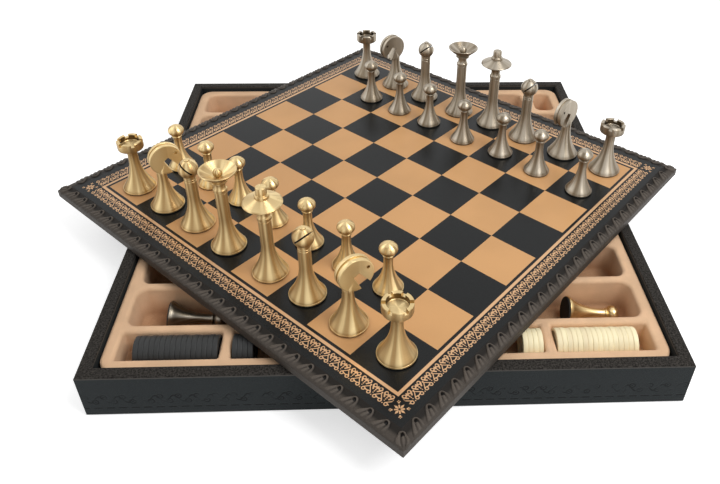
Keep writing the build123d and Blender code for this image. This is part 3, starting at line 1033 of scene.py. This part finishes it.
def metal_finish(name, base, settings, kind, seat, axis):
    """Satin metal: rings left by the lathe, painted reflections as streaks that fan out from the axis, faces
    that look up painted lighter and faces that look sideways and down painted darker, and felt under the
    foot.
    """
    finish = Finish(name)
    x, y, z = finish.axes(finish.place())
    lying = abs(axis.x) > 0.5
    height = (x - seat.x / MM) * axis.x + (z - seat.z / MM) * axis.z
    rings = finish.noise(finish.vector(height * 3.2, 0.0), 1.0, 3.0, 0.7)
    brushed = finish.noise(finish.vector(x * 1.4, y * 1.4, z * 0.12), 1.0, 3.0)
    # Painted reflection: light and dark streaks that fan out round the axis, as turned satin metal reflects
    # its surroundings
    box_x, box_y, box_z = finish.axes(finish.node("ShaderNodeTexCoord", {}, {}))
    off_x = box_y - 0.5 if lying else box_x - 0.5
    off_y = box_z - 0.5 if lying else box_y - 0.5
    reach = (off_x * off_x + off_y * off_y).math("SQRT") | 0.001
    way = finish.vector(off_x / reach * 1.9, off_y / reach * 1.9, (x + y) * 0.03)
    fan = finish.noise(way, 1.0, 1.5, 0.55)
    # Painted reflection: faces that look up are painted lighter
    upright = finish.axes(finish.node("ShaderNodeTexCoord", {}, {}, out=1))[2]
    upward = upright.ease(-0.5, 0.6)
    painted_reflection = fan.ease(0.34, 0.66) | upright.ease(0.8, 0.95) * 0.65
    # The knight's head is painted lighter all over, as a painted reflection
    if kind == "knight":
        head_low = KNIGHT_HEAD_LEVEL - KNIGHT_HEAD / 2 - 0.3
        painted_reflection = painted_reflection | height.ease(head_low, head_low + 3.0) * 0.75
    # The dark metal tone of the painted shade and of the dark painted reflections
    metal_shade = (base[0] * 0.46, base[1] * 0.39, base[2] * 0.3, 1)
    bright = finish.mix(painted_reflection, metal_shade, tone(base, 1.25))
    bright = finish.mix(rings.ease(0.3, 0.7) * 0.3, bright, tone(base, 0.7))
    # Painted shade: faces that look sideways and down are painted darker
    bright = finish.mix((1 - upward) * 0.6, bright, tone(metal_shade, 0.8))
    # Painted shade: the rook's well and the bishop's slit are painted dark inside, the slit in the felt's
    # colour
    if kind == "rook":
        inside = (reach * MAN_BASE < ROOK_WELL / 2 + 0.2) & (height > ROOK_WELL_FLOOR + 0.3)
        bright = finish.mix(inside, bright, tone(metal_shade, 0.35))
    if kind == "bishop":
        out = ((reach * MAN_BASE) ** 2 + (height - BISHOP_BALL_LEVEL) ** 2).math("SQRT")
        inside = out < BISHOP_BALL / 2 - 0.2
        bright = finish.mix(inside, bright, settings.felt)
    felt = 1 - height.ease(FELT_TOP - 0.05, FELT_TOP + 0.05)
    return finish.shade(
        {
            "Base Color": finish.mix(felt, bright, settings.felt),
            "Metallic": 1 - felt,
            "Roughness": settings.roughness + rings * 0.08 + brushed * 0.08 + felt * 0.5 - 0.08,
            "Anisotropic": 0.25 if lying else 0.9,
            "Anisotropic Rotation": 0.25,
            "Normal": finish.bump(rings, 0.00005),
        }
    )


def foot(base, stem):
    """The outline of a flared foot on its felt pad, from the axis up to the stem."""
    outer = base / 2
    pad = outer - 0.6
    ledge = outer - 0.4
    flare = (outer - stem / 2) / (1 - cos(radians(FLARE_ANGLE)))
    top = FOOT_TOP + flare * sin(radians(FLARE_ANGLE))
    points = [(0, 0), (pad - 0.1, 0), (pad, 0.1), (pad, FELT_TOP)]
    points += [(outer - 0.2, FELT_TOP + 0.05), (outer, FELT_TOP + 0.25)]
    points += [(outer, FOOT_TOP - 0.3), (outer - 0.1, FOOT_TOP - 0.15)]
    points += [(ledge, FOOT_TOP - 0.1), (ledge, FOOT_TOP)]
    for step in range(1, FLARE_STEPS + 1):
        turn = radians(FLARE_ANGLE * (1 - step / FLARE_STEPS))
        points.append((stem / 2 + flare * (1 - cos(turn)), top - flare * sin(turn)))
    return points


def ball(level, width, height, neck, top=0.0, count=14):
    """The outline of a ball from its neck to the axis, or to a small flat."""
    first = -acos(neck / width)
    last = acos(top / width)
    return arc(0, level, width / 2, height / 2, first * 180 / pi, last * 180 / pi, count)


def sweep(first, last, power, count):
    """Points of a dished run between two points of an outline, without the first."""
    points = []
    for step in range(1, count + 1):
        x = first[0] + (last[0] - first[0]) * step / count
        z = first[1] + (last[1] - first[1]) * (step / count) ** power
        points.append((x, z))
    return points


def groove(radius, level, depth, width):
    """A small turned groove in a stem, by its depth and half its width."""
    floor = radius - depth
    return [
        (radius, level - width),
        (floor, level - width / 3),
        (floor, level + width / 3),
        (radius, level + width),
    ]


def collar(radius, level):
    """A low collar round a stem, with a groove under it and a narrower waist above."""
    outer = radius + 0.5
    return [
        *groove(radius, level - 0.6, 0.3, 0.35),
        (outer - 0.15, level),
        (outer, level + 0.2),
        (outer, level + 2.3),
        (outer - 0.15, level + 2.5),
        (radius - 0.2, level + 3.0),
        (radius - 0.5, level + 4.2),
        (radius - 0.6, level + 5.8),
        (radius - 0.4, level + 7.4),
    ]


def pawn_shape(steps):
    """A pawn: a thin stem, a bead and a flattened ball."""
    stem = 6.8
    bead = 0.75
    head = ball(PAWN_BALL_LEVEL, PAWN_BALL, 9.6, 7.0)
    neck = head[0][1]
    outline = foot(PAWN_BASE, stem)
    outline += [(stem / 2, neck - 2.4), *arc(stem / 2 + 0.1, neck - 1.2, bead, bead, -80, 80, 6)]
    outline += [(stem / 2 - 0.1, neck - 0.3), *head]
    return turned("pawn", outline, steps)


def rook_shape(steps):
    """A rook: a flat-bottomed drum with a well, and three cuts across it that leave six notches."""
    stem = 4.0
    drum = 10.3
    drum_low = 39.3
    top = 47.0
    well = ROOK_WELL / 2
    floor = ROOK_WELL_FLOOR
    cuts = 3
    cut_size = Vector((30, 2.9, 4.4)) * MM
    outline = foot(MAN_BASE, 2 * stem)
    outline += [(stem, drum_low - 1.7), (stem + 0.4, drum_low - 1.0)]
    outline += [(drum - 1.0, drum_low), (drum - 0.3, drum_low + 0.4), (drum, drum_low + 1.0)]
    outline += [(drum, top - 0.4), (drum - 0.35, top), (well + 0.35, top), (well, top - 0.3)]
    outline += [(well, floor + 0.4), (well - 0.4, floor), (0, floor)]
    rook = turned("rook", outline, steps)
    for index in range(cuts):
        tool = start(
            "notch",
            bpy.ops.mesh.primitive_cube_add,
            size=1,
            location=(0, 0, top * MM),
            rotation=(0, 0, pi * index / cuts),
            scale=cut_size,
        )
        close(tool)
        cut(rook, tool)
    return smoothed(rook)


def knight_shape(steps):
    """The stem carries a thick grooved disc, cut open for the mouth and drilled for the eye."""
    stem = 3.9
    stem_top = 35.8
    radius = KNIGHT_HEAD / 2
    half = 3.8
    groove_depth = 1.0
    groove_half = 1.0
    head_x = 5.0
    head_z = KNIGHT_HEAD_LEVEL
    mouth_inner = 4.8
    mouth_outer = 8.0
    mouth_length = 14.3
    mouth_inset = 0.6
    mouth_fall = radians(58)
    eye_radius = 1.2
    eye_x = head_x + 8.2
    eye_z = head_z + 4.5
    through = 20.0

    rim = [(0, half), (radius - 0.8, half), (radius - 0.5, half)]
    rim += [(radius - 0.15, half - 0.15), (radius, half - 0.5), (radius, groove_half)]
    rim += [(radius - 0.1, groove_half - 0.1), (radius - groove_depth, groove_half - 0.15)]
    outline = rim + [(x, -z) for x, z in reversed(rim)]
    head = turned("knight_head", outline, 2 * steps)
    bpy.ops.object.mode_set(mode="EDIT")
    bpy.ops.mesh.select_all(action="SELECT")
    bpy.ops.transform.rotate(value=pi / 2, orient_axis="X", center_override=(0, 0, 0))
    bpy.ops.transform.translate(value=(head_x * MM, 0, head_z * MM))
    bpy.ops.object.mode_set(mode="OBJECT")
    mouth = start("mouth", bpy.ops.mesh.primitive_cube_add, size=1, location=(0.5, 0, 0))
    select(mouth, "FACE", lambda face: face.normal.x > 0.9)
    bpy.ops.transform.resize(value=(1, 1, mouth_outer / mouth_inner), center_override=(1, 0, 0))
    bpy.ops.object.mode_set(mode="OBJECT")
    alone(mouth)
    mouth.scale = Vector((mouth_length, through, mouth_inner)) * MM
    mouth.rotation_euler = (0, mouth_fall, 0)
    back = Vector((-cos(mouth_fall), 0, sin(mouth_fall))) * mouth_inset
    mouth.location = (Vector((head_x, 0, head_z)) + back) * MM
    bpy.ops.object.transform_apply(location=True, rotation=True, scale=True)
    cut(head, mouth)
    eye = start(
        "eye",
        bpy.ops.mesh.primitive_cylinder_add,
        vertices=20,
        radius=eye_radius * MM,
        depth=through * MM,
        location=(eye_x * MM, 0, eye_z * MM),
        rotation=(pi / 2, 0, 0),
    )
    close(eye)
    cut(head, eye)
    outline = foot(MAN_BASE, 2 * stem)
    outline += [(stem, stem_top - 0.6), (stem - 0.4, stem_top), (0, stem_top)]
    return smoothed(cut(turned("knight", outline, steps), head, "UNION"))


def slit(man, level, width):
    """Saws a slanting slit into a man's ball."""
    saw = 1.2
    slope = pi / 4
    depth_share = 0.65
    reach = width / 2 * (1 - depth_share)
    tool = start(
        "slit",
        bpy.ops.mesh.primitive_cube_add,
        size=1,
        location=Vector((reach * cos(slope), 0, level + reach * sin(slope))) * MM,
        rotation=(0, -slope, 0),
        scale=Vector((width * depth_share, width * 1.2, saw)) * MM,
    )
    close(tool)
    return smoothed(cut(man, tool))


def bishop_shape(steps):
    """A bishop: two fine grooves, and a ball with a button on top and a slit."""
    stem = TALL_STEM / 2
    button = 2.2
    top = 60.75
    outline = foot(MAN_BASE, TALL_STEM) + groove(stem, 42.4, 0.3, 0.4) + groove(stem, 44.2, 0.3, 0.4)
    outline += ball(BISHOP_BALL_LEVEL, BISHOP_BALL, BISHOP_BALL, TALL_STEM, 2 * button, 16)
    outline += [(button, top - 0.25), (button - 0.3, top - 0.05), (0, top)]
    return slit(turned("bishop", outline, steps), BISHOP_BALL_LEVEL, BISHOP_BALL)


def queen_shape(steps):
    """A queen: a collar, a ring, and a shallow cup with a ball in it."""
    ring_low = 60.0
    ring = 6.3
    cup_foot = (5.2, 61.6)
    cup = 13.7
    top = 69.5
    well = (4.0, 64.2)
    outline = foot(MAN_BASE, TALL_STEM) + collar(TALL_STEM / 2, 51.4)
    outline += [(4.4, ring_low - 0.4), (ring - 0.2, ring_low), (ring, ring_low + 0.2)]
    outline += [(ring, ring_low + 0.8), (ring - 0.3, ring_low + 1.0), (cup_foot[0], ring_low + 1.2), cup_foot]
    outline += sweep(cup_foot, (cup - 0.2, top - 1.0), 1.1, 6)
    outline += [(cup, top - 0.7), (cup, top - 0.25), (cup - 0.3, top), (cup - 0.8, top - 0.1)]
    outline += sweep(outline[-1], well, 0.85, 8)
    outline += [(2.6, well[1] - 0.1), *ball(66.9, 7.0, 7.0, 4.4, 0, 10)]
    return turned("queen", outline, steps)


def king_shape(steps):
    """A king: a collar, a wide thin brim, a ring and a button."""
    brim_foot = (5.2, 58.4)
    brim = 14.0
    brim_level = 63.4
    crown = (5.0, 67.9)
    ring = 5.2
    ring_top = 70.2
    button = 3.9
    top = 76.4
    outline = foot(MAN_BASE, TALL_STEM) + collar(TALL_STEM / 2, 49.4)
    outline += [(4.5, 57.6), brim_foot, *sweep(brim_foot, (brim - 0.2, brim_level - 0.2), 1.1, 8)]
    outline += [(brim, brim_level), (brim, brim_level + 0.4), (brim - 0.3, brim_level + 0.7)]
    outline += sweep(outline[-1], crown, 1.1, 8)
    outline += [(ring, crown[1] + 0.2), (ring, ring_top - 0.3), (ring - 0.3, ring_top)]
    outline += [(button + 0.1, ring_top + 0.1), (button - 0.2, ring_top + 0.4)]
    outline += [(button - 0.2, ring_top + 1.2), (button, ring_top + 1.4)]
    outline += [(button, top - 0.8), (button - 0.3, top - 0.25), (button - 1.0, top), (0, top)]
    return turned("king", outline, steps)


SHAPES = {
    "pawn": pawn_shape,
    "rook": rook_shape,
    "knight": knight_shape,
    "bishop": bishop_shape,
    "queen": queen_shape,
    "king": king_shape,
}
# Which way each bishop's slit looks, and how far each knight is turned from straight ahead, in degrees
BISHOP_TURNS = {"brass_bishop_c": -160, "brass_bishop_f": -38, "pewter_bishop_c": -45, "pewter_bishop_f": -38}
KNIGHT_TURNS = {"brass_knight_b": -18, "brass_knight_g": -20, "pewter_knight_b": -15, "pewter_knight_g": -6}
# A man whose box is lower than this lies down, in metres
LYING_HEIGHT = 0.03
# Painted shade: how much darker a man that lies in a pocket is painted, as a share of its metal
LYING_SHADE_SHARES = {"pewter_pawn_lying": 0.6}


def man_seat(kind, metal, node, board_turn):
    """Where the middle of a man's foot is, and how the man is turned."""
    low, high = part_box(node)
    middle = (low + high) / 2
    if high.z - low.z < LYING_HEIGHT:
        tilt = asin((PAWN_BASE - PAWN_BALL) / 2 / PAWN_BALL_LEVEL)
        radius = PAWN_BASE / 2 * MM
        seat = Vector((low.x + radius * sin(tilt), middle.y, low.z + radius * cos(tilt)))
        return seat, (0, pi / 2 + tilt, 0)
    if kind == "knight":
        ahead = 1 if metal == "brass" else -1
        corner = low if ahead > 0 else high
        inset = ahead * MAN_BASE / 2 * MM
        turn = board_turn + ahead * pi / 2 + radians(KNIGHT_TURNS[node])
        return Vector((corner.x + inset, corner.y + inset, low.z)), (0, 0, turn)
    return Vector((middle.x, middle.y, low.z)), (0, 0, radians(BISHOP_TURNS.get(node, 0)))


def set_out(kind, context):
    """Turns one man of a kind and sets out a copy for each of its nodes."""
    settings = context.scene.chessbox_men
    board_turn = context.scene.chessbox_board.turn
    pattern = SHAPES[kind](settings.steps)
    for metal, base in (("brass", settings.brass), ("pewter", settings.pewter)):
        for node in sorted(NODES):
            if not node.startswith(f"{metal}_{kind}"):
                continue
            seat, turn = man_seat(kind, metal, node, board_turn)
            finish_name = f"{metal}_{kind}_{'lying' if turn[1] else 'standing'}"
            material = bpy.data.materials.get(finish_name)
            if material is None:
                axis = Euler(turn).to_matrix() @ Vector((0, 0, 1))
                # The lying pewter pawn takes its painted shade here
                metal_tone = tone(base, LYING_SHADE_SHARES.get(finish_name, 1))
                material = metal_finish(finish_name, metal_tone, settings, kind, seat, axis)
            finished(copied(pattern, f"turned_{node}", seat, turn), material, node, metal, node)
    bpy.data.objects.remove(pattern)


class CHESSBOX_OT_pawns(bpy.types.Operator):
    """Turns the pawns and sets them out"""

    bl_idname = "chessbox.pawns"
    bl_label = "Pawns"

    def execute(self, context):
        set_out("pawn", context)
        return {"FINISHED"}


class CHESSBOX_OT_rooks(bpy.types.Operator):
    """Turns and notches the rooks and sets them out"""

    bl_idname = "chessbox.rooks"
    bl_label = "Rooks"

    def execute(self, context):
        set_out("rook", context)
        return {"FINISHED"}


class CHESSBOX_OT_knights(bpy.types.Operator):
    """Makes the knights and sets them out"""

    bl_idname = "chessbox.knights"
    bl_label = "Knights"

    def execute(self, context):
        set_out("knight", context)
        return {"FINISHED"}


class CHESSBOX_OT_bishops(bpy.types.Operator):
    """Turns and slits the bishops and sets them out"""

    bl_idname = "chessbox.bishops"
    bl_label = "Bishops"

    def execute(self, context):
        set_out("bishop", context)
        return {"FINISHED"}


class CHESSBOX_OT_queens(bpy.types.Operator):
    """Turns the queens and sets them out"""

    bl_idname = "chessbox.queens"
    bl_label = "Queens"

    def execute(self, context):
        set_out("queen", context)
        return {"FINISHED"}


class CHESSBOX_OT_kings(bpy.types.Operator):
    """Turns the kings and sets them out"""

    bl_idname = "chessbox.kings"
    bl_label = "Kings"

    def execute(self, context):
        set_out("king", context)
        return {"FINISHED"}


# Studio, in metres

FLOOR_SIDE = 8
LAMP_TARGET = (0, 0, 0.05)


class CHESSBOX_OT_stage(bpy.types.Operator):
    """Lays the floor, hangs the lamps and sets the camera"""

    bl_idname = "chessbox.stage"
    bl_label = "Studio"

    def execute(self, context):
        settings = context.scene.chessbox_stage
        lay_floor(settings)
        light_room(context.scene, settings)
        hang_lamp("key", settings.key, settings.lamp_side, settings.key_place)
        hang_lamp("fill", settings.fill, settings.lamp_side, settings.fill_place)
        set_camera(context.scene, settings)
        context.scene.view_settings.view_transform = "Standard"
        return {"FINISHED"}


def background_ray(finish):
    """1 for the rays that show the background: from the camera, in gloss or through glass."""
    path = finish.node("ShaderNodeLightPath", {}, {}).socket.node.outputs
    seen = [Wire(finish, path[name]) for name in ("Is Camera Ray", "Is Glossy Ray", "Is Transmission Ray")]
    return seen[0] | seen[1] | seen[2]


def lay_floor(settings):
    """A wide pale floor that shows as white."""
    floor = start("studio_floor", bpy.ops.mesh.primitive_plane_add, size=FLOOR_SIDE)
    bpy.ops.mesh.subdivide(number_cuts=3)
    close(floor)
    finish = Finish("studio_floor")
    material = finish.shade(
        {
            "Base Color": settings.floor,
            "Roughness": 0.9,
            "Specular IOR Level": 0.1,
            "Emission Color": finish.mix(background_ray(finish), (0, 0, 0, 1), settings.glow),
            "Emission Strength": 1.0,
        }
    )
    floor.data.materials.append(material)


def light_room(scene, settings):
    """Even pale light from all round, seen as white."""
    finish = Finish("studio", "worlds")
    strength = settings.world + background_ray(finish) * (1 - settings.world)
    finish.fill(finish.tree.nodes["Background"], {"Color": (1, 1, 1, 1), "Strength": strength})
    scene.world = finish.owner


def hang_lamp(name, strength, side, place):
    """A square soft lamp that looks at the box."""
    lamp = bpy.data.lights.new(name, "AREA")
    lamp.energy = strength
    lamp.size = side
    holder = bpy.data.objects.new(name, lamp)
    bpy.context.scene.collection.objects.link(holder)
    holder.location = place
    holder.rotation_euler = (Vector(LAMP_TARGET) - Vector(place)).to_track_quat("-Z", "Y").to_euler()


def set_camera(scene, settings):
    """A camera with the settings' place, turn and lens."""
    camera = bpy.data.cameras.new("camera")
    camera.lens = settings.lens
    camera.sensor_width = 36
    camera.sensor_fit = "HORIZONTAL"
    camera.shift_x, camera.shift_y = settings.shift
    camera.clip_start = 0.02
    holder = bpy.data.objects.new("camera", camera)
    scene.collection.objects.link(holder)
    holder.location = settings.place
    holder.rotation_euler = settings.turn
    scene.camera = holder


# The panel and the run


STEPS = (
    CHESSBOX_OT_case,
    CHESSBOX_OT_tray,
    CHESSBOX_OT_sheet,
    CHESSBOX_OT_carving,
    CHESSBOX_OT_draughts,
    CHESSBOX_OT_pawns,
    CHESSBOX_OT_rooks,
    CHESSBOX_OT_knights,
    CHESSBOX_OT_bishops,
    CHESSBOX_OT_queens,
    CHESSBOX_OT_kings,
    CHESSBOX_OT_stage,
)
SETTINGS = {
    "chessbox_case": CaseSettings,
    "chessbox_board": BoardSettings,
    "chessbox_men": MenSettings,
    "chessbox_draughts": DraughtSettings,
    "chessbox_stage": StageSettings,
}


class CHESSBOX_PT_panel(bpy.types.Panel):
    """Lists the settings and steps of the chess box"""

    bl_idname = "CHESSBOX_PT_panel"
    bl_label = "Chess Box"
    bl_space_type = "VIEW_3D"
    bl_region_type = "UI"
    bl_category = "Chess Box"

    def draw(self, context):
        for name, group in SETTINGS.items():
            box = self.layout.box()
            for key in group.__annotations__:
                box.prop(getattr(context.scene, name), key)
        for step in STEPS:
            self.layout.operator(step.bl_idname)


def register():
    for group in SETTINGS.values():
        bpy.utils.register_class(group)
    for step in (*STEPS, CHESSBOX_PT_panel):
        bpy.utils.register_class(step)
    for name, group in SETTINGS.items():
        setattr(bpy.types.Scene, name, PointerProperty(type=group))


def unregister():
    for name in SETTINGS:
        delattr(bpy.types.Scene, name)
    for step in (*STEPS, CHESSBOX_PT_panel):
        bpy.utils.unregister_class(step)
    for group in SETTINGS.values():
        bpy.utils.unregister_class(group)


def main():
    register()
    for step in STEPS:
        group, name = step.bl_idname.split(".")
        getattr(getattr(bpy.ops, group), name)()
    bpy.context.view_layer.update()


if __name__ == "__main__":
    main()
